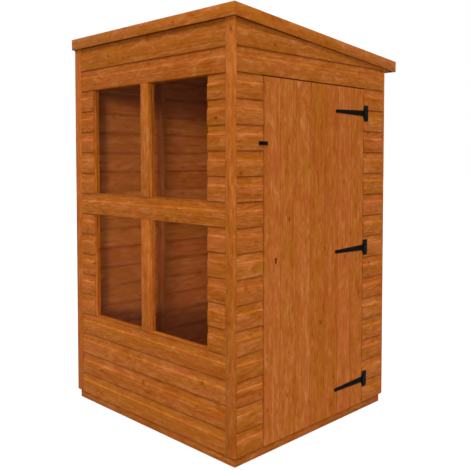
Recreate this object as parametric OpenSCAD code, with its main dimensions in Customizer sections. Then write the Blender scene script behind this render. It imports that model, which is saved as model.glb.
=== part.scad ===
// Pent-roofed timber summerhouse with four fixed front panes and a ledged side door.
// The window wall faces -Y, the door wall faces +X, and the roof falls towards +Y.
// Origin: on the ground, under the middle of the roof.

/* [Building] */
// Width over the side cladding
width = 1244; // [1000:1:1800]
// Depth over the front and back cladding
depth = 1144; // [950:1:1800]
// Height of the roof edge at the front
front_height = 1985; // [1700:1:2500]
// Drop of the roof edge from front to back
fall = 121; // [60:1:200]
// Roof overhang behind the back cladding
back_overhang = 93; // [40:1:200]

/* [Cladding] */
// Thickness of the shiplap boards
clad_t = 12; // [10:0.5:20]
// Height that each shiplap board covers
cover = 110.25; // [90:0.25:140]
// Height of the plain strip between a cove and the lap above it
reveal_h = 31; // [15:1:40]
// Height of the cove
cove_h = 13; // [8:1:25]
// Depth of the cove
cove_d = 4; // [3:0.5:7]
// Height of the tongue that goes up behind the next board
tongue_h = 10; // [6:1:15]
// Height of the lower edge of the cladding above the ground
clad_bottom = 44; // [44:1:60]
// Width of the corner cover strips
strip_w = 57; // [50:1:80]

/* [Framing] */
// Wide side of the framing timber
frame_w = 45; // [35:1:60]
// Narrow side of the framing timber
frame_t = 28; // [20:1:38]

/* [Floor] */
// Height and width of the bearers
bearer = 38; // [30:1:38]
// Thickness of the floor and roof boards
deck_t = 12; // [10:1:20]
// Nominal width of tongued and grooved boards
match_w = 109; // [80:1:140]
// Depth of the V joint between tongued and grooved boards
vee = 1.5; // [1:0.5:4]

/* [Windows] */
// Space between a corner post and the window post beside it
post_space = 17.5; // [10:0.5:120]
// Number of whole boards under the windows
sill_rows = 4; // [3:1:8]
// Width of the upright between the panes
mullion_w = 60; // [50:1:90]
// Space between the two rails behind the board between the windows
rail_space = 15; // [5:0.5:40]
// Width of the glazing beads
bead_w = 7.5; // [5:0.5:12]
// Depth of the outer glazing beads
outer_bead = 13; // [8:0.5:14]
// Thickness of the glass
glass_t = 3; // [2:0.5:4]

/* [Door] */
// Width of the wall in front of the doorway, strip included
door_front = 178; // [150:1:300]
// Width of the wall behind the doorway, strip included
door_back = 192; // [150:1:300]
// Gap around the door
door_gap = 5; // [5:0.5:8]
// Gap at the hinged edge of the door
hinge_gap = 6; // [6:0.5:10]
// Width of the door ledges
ledge_w = 95; // [70:1:120]
// Thickness of the ledges and braces
ledge_t = 18; // [14:1:25]
// Width of the braces
brace_w = 70; // [50:1:90]
// Width and thickness of the strips that the door closes against
stop_w = 20; // [15:1:28]

/* [Ironmongery] */
// Length of the hinge strap from its pin
strap_l = 243; // [150:1:350]
// Height of the strap at its root
strap_root = 29; // [24:1:40]
// Height of the strap at its tip
strap_tip = 16; // [10:1:22]
// Thickness of the hinge metal
hinge_t = 3; // [2:0.5:3.5]
// Outer radius of the hinge knuckles
knuckle_r = 5; // [4.5:0.5:6]
// Radius of the hinge pin
pin_r = 2.5; // [2:0.1:3]
// Height of the hinge plate
plate_h = 81; // [70:1:110]
// Width of the hinge plate
plate_w = 35; // [25:1:45]
// Height of each end knuckle on the plate
end_knuckle = 12; // [8:1:16]
// Distance of the outer hinges from the door ends
hinge_inset = 124; // [80:1:250]
// Length of the turn button
button_l = 55; // [45:1:80]
// Length of the turn button's short end, from its pivot
button_tail = 22.5; // [18:0.5:25]
// Height of the turn button
button_w = 16; // [10:1:18]
// Thickness of the turn button
button_t = 5; // [3:0.5:7]
// Distance of the keyhole from the free edge of the door
keyhole_in = 79; // [50:1:100]
// Height of the keyhole
keyhole_h = 28; // [20:1:35]
// Radius of the round part of the keyhole
keyhole_r = 9; // [5:0.5:10]
// Width of the slot of the keyhole
keyhole_slot = 12; // [4:0.5:16]
// Width of the rim lock case
lock_w = 110; // [90:1:140]
// Height of the rim lock case
lock_h = 75; // [60:1:90]
// Thickness of the rim lock case
lock_t = 20; // [14:1:25]

/* [Roof] */
// Height of the fascia and barge boards
fascia_h = 57; // [50:1:90]
// Thickness of the fascia and barge boards
fascia_t = 12; // [10:1:20]
// Height of the fascia above the roof covering
lip = 2; // [0:0.5:6]
// Thickness of the roofing felt
felt_t = 3; // [2:0.5:5]
// Height of the purlins
purlin_h = 45; // [35:1:60]
// Lower edge of the eaves rail below the roof boards
eaves_h = 50; // [30:1:70]

/* [Hidden] */

// Number of flat steps in one cove
cove_steps = 6;
// Faces of round pieces
$fn = 48;
// Running clearance of pins in their bores
running = 0.05;
// Clearance between hinge knuckles, end to end
knuckle_gap = 0.5;
// Clearance of the glass in its rebate
glass_gap = 0.3;
// Clearance of the floor edge behind the door
sill_gap = 5;
// Gap between the turn button and the door
button_gap = 2;
// Distance of the upright turn button from the doorway
button_edge = 1.5;
// Radius of the turn button's screw, and by how much its heads are smaller than the button
button_screw_r = 2.5;
button_head_in = 2;
button_head_h = 2;
// Height of the keyhole's round part over the middle of the door
keyhole_rise = 8;
// Length of the lock bolt out of its case, drawn back
bolt_out = 2;
// Clearance between the lock keep and the door stop
keep_gap = 1;
// Clearance under sloping sawn faces
slope_gap = 0.1;
// Gap where two strips of one piece butt together
butt_gap = 1;
// Over-length of cutting shapes
past = 1;

// Roof plan, over the fascia boards
roof_w = width + 2 * fascia_t;
roof_l = fascia_t + depth + back_overhang;
pitch = atan(fall / roof_l);

// Outer faces of the walls, and inner faces of the cladding
right = width / 2;
left = -right;
front = fascia_t - roof_l / 2;
back = front + depth;
in_right = right - clad_t;
in_front = front + clad_t;
in_back = back - clad_t;
// Inner faces of the side frames
side_t = clad_t + frame_w;
room_x = right - side_t;
floor_top = bearer + deck_t;

// Heights of the roof planes at a distance y along the building
function roof_z(y) = front_height - (y + roof_l / 2) * fall / roof_l;
felt_drop = lip;
deck_drop = felt_drop + felt_t / cos(pitch);
under_drop = deck_drop + deck_t / cos(pitch);
function under_z(y) = roof_z(y) - under_drop;

// Board rows: lower edge of each row, the row at the door and window heads with a whole
// board over it at the eaves, the last row, whose tongue goes up behind the fascia, and the
// rows of the windows
function row_z(i) = clad_bottom + i * cover;
head_row = floor((under_z(back) - clad_bottom) / cover) - 1;
top_row = ceil((front_height - fascia_h - tongue_h - clad_bottom) / cover);
lower_rows = ceil((head_row - sill_rows - 1) / 2);
between_row = sill_rows + lower_rows;

// Window opening between the cladding, and between the frame timbers: from the end of the
// wall there are the side frame, two posts with a space between them, and the bead
window_side = clad_t + 3 * frame_w + post_space + bead_w;
win_left = left + window_side;
win_right = -win_left;
post_left = win_left - bead_w;
post_right = -post_left;
mullion_post = mullion_w - 2 * bead_w;
glass_y = in_front + outer_bead;
lower_sill = row_z(sill_rows);
lower_head = row_z(between_row);
upper_sill = row_z(between_row + 1);
upper_head = row_z(head_row);
mid_rail_h = floor((upper_sill - lower_head - 2 * bead_w - rail_space) / 2);
front_rail_z = under_z(in_front + frame_t) - frame_w;
back_rail_z = under_z(in_back) - frame_w;

// Doorway between the cladding, and the door in it
way_front = front + door_front;
way_back = back - door_back;
door_free = way_front + door_gap;
door_hung = way_back - hinge_gap;
door_w = door_hung - door_free;
door_top = row_z(head_row) - door_gap;
door_h = door_top - clad_bottom;
ledge_front = way_front + stop_w + door_gap;
ledge_back = door_hung - 2 * door_gap;
hinge_z = [clad_bottom + hinge_inset, (clad_bottom + door_top) / 2, door_top - hinge_inset];
ledge_z = [for (z = hinge_z) z - ledge_w / 2];

// Hinge pin, halfway across the gap and as far out as its knuckles need
pin_x = right + knuckle_r;
pin_y = way_back - hinge_gap / 2;

// Turn button pivot on the wall beside the door
button_y = way_front - button_w / 2 - button_edge;
button_z = row_z(head_row - 3) + (cover - reveal_h - cove_h) / 2;
button_x = right + button_gap;
keyhole_y = door_free + keyhole_in;
keyhole_z = hinge_z[1] + keyhole_rise;

// Outline of shiplap rows from one row to another: [height out of the back face, height above
// ground]. A cove is an arc that runs out into the plain strip above it
cove_r = (pow(cove_d, 2) + pow(cove_h, 2)) / (2 * cove_d);
function cove(z) = [for (i = [0:cove_steps])
    let (up = cove_h * (1 - i / cove_steps))
    [clad_t - cove_d + cove_r - sqrt(pow(cove_r, 2) - pow(up, 2)), z - up]];
function rows(from, to) = [for (i = [from:to - 1])
    each concat([[clad_t, row_z(i)]], cove(row_z(i + 1) - reveal_h), [[clad_t - cove_d, row_z(i + 1)]])];

// Shapes drawn in the YZ plane or the XZ plane and extruded along X or Y
module along_x(from, to)
    translate([from, 0, 0]) rotate([90, 0, 90]) linear_extrude(to - from) children();
module along_y(from, to)
    translate([0, to, 0]) rotate([90, 0, 0]) linear_extrude(to - from) children();

// A box between two corners
module block(low, high)
    translate(low) cube(high - low);

// Everything below the roof boards, or lower by a vertical distance
module below_roof(lower = 0) {
    drop = lower + slope_gap;
    along_x(-roof_w, roof_w)
        polygon([[-roof_l, 0], [roof_l, 0],
            [roof_l, under_z(roof_l) - drop], [-roof_l, under_z(-roof_l) - drop]]);
}

// Shiplap along local X, its back face in the plane y = 0 and its face towards -Y
module shiplap(length, from, to, tongue = true) {
    top = row_z(to) + (tongue ? tongue_h : 0);
    over = tongue ? [[clad_t - cove_d, top]] : [];
    outline = concat([[0, row_z(from)]], rows(from, to), over, [[0, top]]);
    along_x(0, length)
        polygon([for (p = outline) [-p[0], p[1]]]);
}

// Tongued and grooved boarding: joints run along local Y, V joints open on the +Z face
module matchboard(across, along, t) {
    count = round(across / match_w);
    step = across / count;
    joints = [for (i = [count - 1:-1:1])
        each [[i * step + vee, t], [i * step, t - vee], [i * step - vee, t]]];
    along_y(0, along)
        polygon(concat([[0, 0], [across, 0], [across, t]], joints, [[0, t]]));
}

// Floor: four bearers across the building and a rim at each end of them
module floor_bearers() color("peru") {
    for (y = [in_front, in_back - bearer])
        block([-in_right, y, 0], [in_right, y + bearer, bearer]);
    for (part = [1 / 3, 2 / 3])
        let (y = in_front + part * (in_back - in_front - bearer))
        block([bearer - in_right, y, 0], [in_right - bearer, y + bearer, bearer]);
}

module floor_rims() color("peru")
    for (side = [-1, 1])
        let (x = side * (in_right - bearer / 2))
        block([x - bearer / 2, in_front + bearer, 0], [x + bearer / 2, in_back - bearer, bearer]);

// Floor boards, cut back behind the door
module floor_boards() color("burlywood") difference() {
    translate([-in_right, in_front, bearer])
        matchboard(2 * in_right, in_back - in_front, deck_t);
    block([in_right - sill_gap, way_front, bearer - past], [right, way_back, floor_top + past]);
}

// Front wall cladding, between the corner strips. The tongues are cut off at the window sills
module front_shiplap(from_x, to_x, from, to, tongue = false)
    translate([from_x, in_front, 0]) shiplap(to_x - from_x, from, to, tongue);

module front_cladding_below() color("sandybrown")
    front_shiplap(-right + strip_w, right - strip_w, 0, sill_rows);

module front_cladding_beside() color("sandybrown")
    for (x = [left + strip_w, win_right], from = [sill_rows, between_row + 1])
        let (to = from == sill_rows ? between_row : head_row)
        front_shiplap(x, x + window_side - strip_w, from, to);

module front_cladding_between() color("sandybrown")
    front_shiplap(-right + strip_w, right - strip_w, between_row, between_row + 1);

module front_cladding_above() color("sandybrown") intersection() {
    front_shiplap(-right + strip_w, right - strip_w, head_row, top_row, true);
    below_roof();
}

// Front wall frame: uprights, and rails between them
module front_post(x, w, low, high)
    block([x, in_front, low], [x + w, in_front + frame_t, high]);

module front_posts() color("peru") {
    for (x = [-room_x, post_left - frame_w, post_right, room_x - frame_w])
        front_post(x, frame_w, floor_top + frame_w, front_rail_z);
    front_post(-mullion_post / 2, mullion_post, lower_sill - bead_w, lower_head + bead_w);
    front_post(-mullion_post / 2, mullion_post, upper_sill - bead_w, upper_head + bead_w);
}

module front_rails() color("peru") {
    block([-room_x, in_front, floor_top], [room_x, in_front + frame_t, floor_top + frame_w]);
    for (span = [[lower_sill - bead_w - frame_w, frame_w], [lower_head + bead_w, mid_rail_h],
            [upper_sill - bead_w - mid_rail_h, mid_rail_h], [upper_head + bead_w, frame_w]])
        block([post_left, in_front, span[0]], [post_right, in_front + frame_t, span[0] + span[1]]);
    intersection() {
        block([-room_x, in_front, front_rail_z], [room_x, in_front + frame_t, front_height]);
        below_roof();
    }
}

// Cover strip on the upright between the panes, broken by the board between the windows
module mullion_strip() color("sandybrown")
    for (span = [[lower_sill, lower_head], [upper_sill, upper_head]])
        block([-mullion_w / 2, front, span[0]], [mullion_w / 2, in_front, span[1]]);

// One pane's opening between the frame timbers: inner edge x and side of the centre
function pane_low(side) = side < 0 ? post_left : mullion_post / 2;
function pane_high(side) = side < 0 ? -mullion_post / 2 : post_right;

// A rectangular ring of beading in the XZ plane
module bead_ring(side, low, high, from_y, to_y) difference() {
    block([pane_low(side), from_y, low - bead_w], [pane_high(side), to_y, high + bead_w]);
    block([pane_low(side) + bead_w, from_y - past, low], [pane_high(side) - bead_w, to_y + past, high]);
}

module glazing_beads() color("peru")
    for (side = [-1, 1], span = [[lower_sill, lower_head], [upper_sill, upper_head]]) {
        bead_ring(side, span[0], span[1], in_front, glass_y);
        bead_ring(side, span[0], span[1], glass_y + glass_t, in_front + frame_t);
    }

module panes(low, high)
    for (side = [-1, 1])
        block([pane_low(side) + glass_gap, glass_y, low - bead_w + glass_gap],
            [pane_high(side) - glass_gap, glass_y + glass_t, high + bead_w - glass_gap]);

module lower_glass() color("lightblue", 0.4) panes(lower_sill, lower_head);
module upper_glass() color("lightblue", 0.4) panes(upper_sill, upper_head);

// Left wall
module left_cladding() color("sandybrown") intersection() {
    translate([-in_right, in_back, 0]) rotate([0, 0, -90]) shiplap(in_back - in_front, 0, top_row);
    below_roof();
}

// Uprights of a side frame at the given places along Y, under the sloping top rail
module side_posts(side, places) intersection() {
    for (y = places)
        let (x = side * (room_x + frame_w / 2))
        block([x - frame_w / 2, y, floor_top + frame_t], [x + frame_w / 2, y + frame_t, front_height]);
    below_roof(frame_w);
}

// Bottom rails of a side frame along the given spans of Y
module side_sills(side, spans)
    for (span = spans)
        let (x = side * (room_x + frame_w / 2))
        block([x - frame_w / 2, span[0], floor_top], [x + frame_w / 2, span[1], floor_top + frame_t]);

// Sloping top rail of a side frame
module side_top(side)
    let (x = side * (room_x + frame_w / 2))
    intersection() {
        along_x(x - frame_w / 2, x + frame_w / 2)
            polygon([[in_front, under_z(in_front) - frame_w], [in_back, under_z(in_back) - frame_w],
                [in_back, front_height], [in_front, front_height]]);
        below_roof();
    }

module left_posts() color("peru")
    side_posts(-1, [in_front, (in_front + in_back - frame_t) / 2, in_back - frame_t]);

module left_rails() color("peru") {
    side_sills(-1, [[in_front, in_back]]);
    side_top(-1);
}

// Back wall
module back_cladding() color("sandybrown") intersection() {
    translate([room_x + frame_w + clad_t - strip_w, in_back, 0]) rotate([0, 0, 180])
        shiplap(width - 2 * strip_w, 0, top_row);
    below_roof();
}

module back_posts() color("peru")
    for (x = [-room_x, -frame_w / 2, room_x - frame_w])
        block([x, in_back - frame_t, floor_top + frame_w], [x + frame_w, in_back, back_rail_z]);

module back_rails() color("peru") {
    block([-room_x, in_back - frame_t, floor_top], [room_x, in_back, floor_top + frame_w]);
    intersection() {
        block([-room_x, in_back - frame_t, back_rail_z], [room_x, in_back, front_height]);
        below_roof();
    }
}

// Right wall, split round the doorway
module right_shiplap(from_y, to_y, from, to)
    translate([in_right, from_y, 0]) rotate([0, 0, 90]) shiplap(to_y - from_y, from, to, false);

module right_cladding_front() color("sandybrown")
    right_shiplap(in_front, way_front, 0, head_row);

module right_cladding_back() color("sandybrown")
    right_shiplap(way_back, in_back, 0, head_row);

module right_cladding_over_door() color("sandybrown") intersection() {
    translate([in_right, in_front, 0]) rotate([0, 0, 90])
        shiplap(in_back - in_front, head_row, top_row);
    below_roof();
}

module right_posts() color("peru")
    side_posts(1, [in_front, way_front - frame_t, way_back, in_back - frame_t]);

module right_rails() color("peru") {
    side_sills(1, [[in_front, way_front], [way_back, in_back]]);
    block([room_x, way_front, upper_head], [in_right, way_back, upper_head + frame_t]);
    side_top(1);
}

// Strips inside the doorway that the door closes against
module door_stops() color("peru") {
    x = in_right - door_gap - stop_w;
    block([x, way_front, floor_top], [x + stop_w, way_front + stop_w, upper_head]);
    block([x, way_front + stop_w + butt_gap, upper_head - stop_w], [x + stop_w, way_back, upper_head]);
}

// Cover strips on the four corners, front and back
module corner_strips() color("sandybrown") intersection() {
    for (x = [left, right - strip_w], y = [front, in_back])
        block([x, y, clad_bottom], [x + strip_w, y + clad_t, front_height]);
    below_roof();
}

// Roof boards between the fascias, V joints underneath
module roof_boards() color("burlywood") difference() {
    along_x(left, right)
        polygon([for (y = [-1, 1], drop = y < 0 ? [under_drop, deck_drop] : [deck_drop, under_drop])
            let (end = y * (roof_l / 2 - fascia_t))
            [end, roof_z(end) - drop]]);
    count = round(width / match_w);
    for (i = [1:count - 1])
        translate([left + i * width / count, 0, under_z(0)]) rotate([-pitch, 0, 0])
            along_y(-roof_l, roof_l)
                polygon([[-vee - past, -past], [vee + past, -past], [0, vee]]);
}

// Purlins between the side frames, their tops under the roof boards
module roof_purlins() color("peru") intersection() {
    for (part = [1 / 3, 2 / 3])
        let (y = in_front + part * (in_back - in_front) - frame_t / 2)
        block([-room_x, y, under_z(y + frame_t) - purlin_h], [room_x, y + frame_t, front_height]);
    below_roof();
}

module roof_felt() color("darkslategray")
    along_x(left, right)
        polygon([for (y = [-1, 1], drop = y < 0 ? [deck_drop, felt_drop] : [felt_drop, deck_drop])
            let (end = y * (roof_l / 2 - fascia_t))
            [end, roof_z(end) - drop]]);

// A fascia board across the building, its top sawn to the fall of the roof
module fascia(from_y)
    along_x(-roof_w / 2, roof_w / 2)
        polygon([[from_y, roof_z(from_y) - fascia_h], [from_y + fascia_t, roof_z(from_y) - fascia_h],
            [from_y + fascia_t, roof_z(from_y + fascia_t)], [from_y, roof_z(from_y)]]);

module front_fascia() color("chocolate") fascia(-roof_l / 2);
module back_fascia() color("chocolate") fascia(roof_l / 2 - fascia_t);

// Barge boards down the sides, between the fascias
module barge_boards() color("chocolate")
    for (x = [-roof_w / 2, right])
        let (end = roof_l / 2 - fascia_t)
        along_x(x, x + fascia_t)
            polygon([[-end, roof_z(-end) - fascia_h], [end, roof_z(end) - fascia_h],
                [end, roof_z(end)], [-end, roof_z(-end)]]);

// Rail under the overhang, on the back of the cladding
module eaves_rail() color("peru") intersection() {
    block([left, back, under_z(back) - eaves_h], [right, back + frame_w, front_height]);
    below_roof();
}

// Door: boards with V joints on the outside and a keyhole, ledges and braces inside
module door_boards() color("sandybrown") difference() {
    translate([in_right, door_free, clad_bottom]) rotate([90, 0, 90])
        matchboard_upright();
    translate([in_right - past, keyhole_y, keyhole_z]) rotate([0, 90, 0])
        cylinder(h = clad_t + 2 * past, r = keyhole_r);
    block([in_right - past, keyhole_y - keyhole_slot / 2, keyhole_z + keyhole_r - keyhole_h],
        [right + past, keyhole_y + keyhole_slot / 2, keyhole_z]);
}

// Door boarding drawn flat: joints along local Y, V joints open on +Z
module matchboard_upright() matchboard(door_w, door_h, clad_t);

module door_ledges() color("peru")
    for (z = ledge_z)
        block([in_right - ledge_t, ledge_front, z], [in_right, ledge_back, z + ledge_w]);

// Braces rise from the hinged side
module door_braces() color("peru")
    for (i = [0, 1])
        let (low = ledge_z[i] + ledge_w, high = ledge_z[i + 1])
        along_x(in_right - ledge_t, in_right)
            polygon([[ledge_back, low], [ledge_front + brace_w, high], [ledge_front, high],
                [ledge_back - brace_w, low]]);

// Rim lock on the inside of the middle ledge, its bolt drawn back, and its keep on the post
module rim_lock() color("dimgray") {
    x = in_right - ledge_t - lock_t;
    block([x, ledge_front, hinge_z[1] - lock_h / 2],
        [x + lock_t, ledge_front + lock_w, hinge_z[1] + lock_h / 2]);
    block([x + lock_t / 4, ledge_front - bolt_out, hinge_z[1] - lock_h / 6],
        [x + 3 * lock_t / 4, ledge_front + past, hinge_z[1] + lock_h / 6]);
}

module lock_keep() color("dimgray")
    block([room_x, way_front, hinge_z[1] - lock_h / 2],
        [in_right - door_gap - stop_w - keep_gap, way_front + hinge_t, hinge_z[1] + lock_h / 2]);

// Tee hinges. The strap's knuckle turns on the pin between the plate's two knuckles
strap_knuckle = strap_root;
column = strap_knuckle + 2 * (end_knuckle + knuckle_gap);

module strap_outline() {
    tip = strap_l - strap_tip / 2;
    translate([-tip, 0]) circle(r = strap_tip / 2);
    polygon([[0, -strap_root / 2], [0, strap_root / 2], [-tip, strap_tip / 2], [-tip, -strap_tip / 2]]);
}

module hinge_strap(z) translate([0, pin_y, z]) difference() {
    union() {
        translate([right, 0, 0]) rotate([90, 0, 90]) linear_extrude(hinge_t) strap_outline();
        translate([pin_x, 0, -strap_knuckle / 2]) cylinder(h = strap_knuckle, r = knuckle_r);
    }
    translate([pin_x, 0, -column]) cylinder(h = 2 * column, r = pin_r + running);
}

module hinge_straps() color("black")
    for (z = hinge_z) hinge_strap(z);

module hinge_plate(z) translate([0, pin_y, z]) {
    near = hinge_gap / 2;
    notch = strap_knuckle / 2 + knuckle_gap;
    difference() {
        block([right, near, -plate_h / 2], [right + hinge_t, near + plate_w, plate_h / 2]);
        block([right - past, near - past, -notch], [right + hinge_t + past, knuckle_r + 1, notch]);
    }
    for (side = [-1, 1])
        let (low = side < 0 ? -column / 2 : column / 2 - end_knuckle) {
        block([right, 0, low], [right + hinge_t, knuckle_r + 2, low + end_knuckle]);
        translate([pin_x, 0, low]) cylinder(h = end_knuckle, r = knuckle_r);
    }
    translate([pin_x, 0, -column / 2]) cylinder(h = column, r = pin_r);
}

module top_hinge_plate() color("black") hinge_plate(hinge_z[2]);
module middle_hinge_plate() color("black") hinge_plate(hinge_z[1]);
module bottom_hinge_plate() color("black") hinge_plate(hinge_z[0]);

// Turn button on a shouldered screw in the wall; its long end holds the door
module turn_button() color("black") difference() {
    block([button_x, button_y - button_tail, button_z - button_w / 2],
        [button_x + button_t, button_y - button_tail + button_l, button_z + button_w / 2]);
    translate([button_x - past, button_y, button_z]) rotate([0, 90, 0])
        cylinder(h = button_t + 2 * past, r = button_screw_r + running);
}

module button_screw() color("black") translate([right, button_y, button_z]) rotate([0, 90, 0]) {
    cylinder(h = button_gap - knuckle_gap, r = button_w / 2 - button_head_in);
    cylinder(h = button_gap + button_t + knuckle_gap, r = button_screw_r);
    translate([0, 0, button_gap + button_t + knuckle_gap])
        cylinder(h = button_head_h, r = button_w / 2 - button_head_in);
}

floor_bearers();
floor_rims();
floor_boards();
front_cladding_below();
front_cladding_beside();
front_cladding_between();
front_cladding_above();
front_posts();
front_rails();
mullion_strip();
glazing_beads();
lower_glass();
upper_glass();
left_cladding();
left_posts();
left_rails();
back_cladding();
back_posts();
back_rails();
right_cladding_front();
right_cladding_back();
right_cladding_over_door();
right_posts();
right_rails();
door_stops();
corner_strips();
roof_boards();
roof_purlins();
roof_felt();
front_fascia();
back_fascia();
barge_boards();
eaves_rail();
door_boards();
door_ledges();
door_braces();
rim_lock();
lock_keep();
hinge_straps();
top_hinge_plate();
middle_hinge_plate();
bottom_hinge_plate();
turn_button();
button_screw();
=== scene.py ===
import math
import random

import bmesh
import bpy
import numpy
from mathutils import Matrix, Vector


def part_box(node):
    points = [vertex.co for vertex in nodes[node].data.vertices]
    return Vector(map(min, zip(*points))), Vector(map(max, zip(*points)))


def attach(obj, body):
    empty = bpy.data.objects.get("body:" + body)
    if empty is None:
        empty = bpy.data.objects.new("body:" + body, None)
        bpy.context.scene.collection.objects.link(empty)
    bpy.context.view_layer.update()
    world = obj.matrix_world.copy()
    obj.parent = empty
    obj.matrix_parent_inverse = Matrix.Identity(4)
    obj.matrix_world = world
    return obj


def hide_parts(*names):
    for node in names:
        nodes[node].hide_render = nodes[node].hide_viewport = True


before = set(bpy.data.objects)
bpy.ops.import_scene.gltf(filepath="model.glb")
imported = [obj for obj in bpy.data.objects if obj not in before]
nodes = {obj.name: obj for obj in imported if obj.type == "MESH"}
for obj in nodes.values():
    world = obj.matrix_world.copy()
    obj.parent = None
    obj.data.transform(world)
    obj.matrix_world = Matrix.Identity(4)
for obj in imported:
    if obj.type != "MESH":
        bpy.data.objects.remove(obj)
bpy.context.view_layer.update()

# ---------------------------------------------------------------- sizes, in metres
# The walls: outer faces, inner faces of the cladding, rows of boards
RIGHT = 0.622
FRONT = -0.6125
BACK = 0.5315
BOARD = 0.012
IN_RIGHT = RIGHT - BOARD
IN_FRONT = FRONT + BOARD
IN_BACK = BACK - BOARD
CLAD_FOOT = 0.044
COVER = 0.11025
PLAIN_STRIP = 0.031
COVE_HIGH = 0.013
COVE_DEEP = 0.004
TONGUE = 0.010
LAP_GAP = 0.0008
STRIP = 0.057
SILL_ROW = 4
BETWEEN_ROW = 9
HEAD_ROW = 15
TOP_ROW = 17
WINDOW_EDGE = 0.450
WAY_FRONT = -0.4345
WAY_BACK = 0.3395

# The sticks of the framing
STICK_WIDE = 0.045
STICK_THIN = 0.028

# The door and its ironmongery
DOOR_FREE = -0.4295
DOOR_HUNG = 0.3335
DOOR_TOP = 1.69275
DOOR_BOARDS = 7
DOOR_BOARD_WIDE = (DOOR_HUNG - DOOR_FREE) / DOOR_BOARDS
VEE = 0.0015
HINGE_HEIGHTS = (0.168, 0.868375, 1.56875)
PIN_Y = 0.3365
HINGE_METAL = 0.003
KEYHOLE = (-0.3505, 0.876375)
KEYHOLE_R = 0.009
KEYHOLE_HIGH = 0.028
KEYHOLE_SLOT = 0.012

# The roof: its plan, its fall, and the depth of each layer below the edge boards
ROOF_HALF_L = 0.6245
ROOF_HALF_W = 0.634
EDGE_BOARD = 0.012
EDGE_HIGH = 0.057
ROOF_FRONT_Z = 1.985
ROOF_SLOPE = 0.121 / 1.249
ROOF_ANGLE = math.atan(ROOF_SLOPE)
FELT_DROP = 0.002
DECK_DROP = FELT_DROP + 0.003 / math.cos(ROOF_ANGLE)
UNDER_DROP = DECK_DROP + BOARD / math.cos(ROOF_ANGLE)

# The decks of floor and roof
FLOOR_TOP = 0.050
DECK_BOARDS = 11
ROOF_VEE = 0.0025

# Small distances: between faces that lie on each other, at each end of a board, past each side of a cut
HAIR = 0.0001
JOINT = 0.0005
CUT_PAST = 0.010

X = Vector((1, 0, 0))
Y = Vector((0, 1, 0))
Z = Vector((0, 0, 1))


def row_z(row):
    """Height of the lower edge of a row of cladding."""
    return CLAD_FOOT + row * COVER


def roof_z(y):
    """Height of the roof's upper edge at a distance along the building."""
    return ROOF_FRONT_Z - (y + ROOF_HALF_L) * ROOF_SLOPE


def placed(name, data):
    """A new object in the scene."""
    made = bpy.data.objects.new(name, data)
    bpy.context.scene.collection.objects.link(made)
    return made


# ---------------------------------------------------------------- finishes
def add_node(tree, kind, inputs=None, **settings):
    """Adds a node, its settings first and then its inputs, each a value or a socket to link."""
    made = tree.nodes.new(kind)
    for key, value in settings.items():
        setattr(made, key, value)
    for key, value in (inputs or {}).items():
        if isinstance(value, bpy.types.NodeSocket):
            tree.links.new(value, made.inputs[key])
        else:
            made.inputs[key].default_value = value
    return made


class Finish:
    """A material under construction, with short calls for its nodes."""

    def __init__(self, name):
        self.material = bpy.data.materials.new(name)
        self.material.use_nodes = True
        self.tree = self.material.node_tree
        self.tree.nodes.clear()

    def node(self, kind, inputs=None, **settings):
        return add_node(self.tree, kind, inputs, **settings)

    def attribute(self, name):
        return self.node("ShaderNodeAttribute", attribute_name=name)

    def sum_of(self, operation, first, second=0.0, third=0.0):
        values = {0: first, 1: second, 2: third}
        return self.node("ShaderNodeMath", values, operation=operation).outputs[0]

    def moved(self, operation, first, second):
        values = {0: first, 1: second}
        return self.node("ShaderNodeVectorMath", values, operation=operation).outputs[0]

    def noise(self, place, detail=2.0, rough=0.5, bend=0.0):
        values = {"Vector": place, "Scale": 1.0, "Detail": detail, "Roughness": rough, "Distortion": bend}
        return self.node("ShaderNodeTexNoise", values).outputs["Fac"]

    def between(self, value, low, high, out_low=0.0, out_high=1.0, smooth=False):
        values = {"Value": value, "From Min": low, "From Max": high, "To Min": out_low, "To Max": out_high}
        kind = "SMOOTHSTEP" if smooth else "LINEAR"
        return self.node("ShaderNodeMapRange", values, interpolation_type=kind).outputs[0]

    def ramp(self, value, stops):
        made = self.node("ShaderNodeValToRGB", {"Fac": value})
        band = made.color_ramp
        while len(band.elements) < len(stops):
            band.elements.new(0.5)
        for element, (place, colour) in zip(band.elements, stops):
            element.position = place
            element.color = (*colour, 1.0)
        return made.outputs[0]

    def blend(self, amount, first, second, kind="MIX"):
        made = self.node("ShaderNodeMix", {0: amount}, data_type="RGBA", blend_type=kind)
        for socket, value in ((made.inputs[6], first), (made.inputs[7], second)):
            if isinstance(value, bpy.types.NodeSocket):
                self.tree.links.new(value, socket)
            else:
                socket.default_value = (*value, 1.0)
        return made.outputs[2]

    def close(self, shader):
        self.node("ShaderNodeOutputMaterial", {"Surface": shader})
        return self.material

    def coated(self, colour, rough, specular, bump=None, deep=0.0, strength=1.0, **others):
        values = {"Base Color": colour, "Roughness": rough, "Specular IOR Level": specular}
        if not isinstance(colour, bpy.types.NodeSocket):
            values["Base Color"] = (*colour, 1.0)
        values.update(others)
        if bump is not None:
            values["Normal"] = self.node(
                "ShaderNodeBump", {"Height": bump, "Distance": deep, "Strength": strength}
            ).outputs[0]
        return self.close(self.node("ShaderNodeBsdfPrincipled", values).outputs[0])


# Colours of the stain, from knots and late wood to the palest streaks
STAIN_DARK = (0.222, 0.036, 0.0008)
STAIN_DEEP = (0.296, 0.067, 0.0023)
STAIN_BODY = (0.366, 0.099, 0.0120)
STAIN_PALE = (0.515, 0.179, 0.0470)
STAIN_RED = (0.376, 0.080, 0.0155)
STAIN_HONEY = (0.338, 0.107, 0.0035)
KNOT_BROWN = (0.140, 0.024, 0.0010)

# Spread of the knots along and across a board, in cells per metre
KNOTS_ALONG = 4.0
KNOTS_ACROSS = 12.0
RING_GAP = 0.0042

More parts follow.
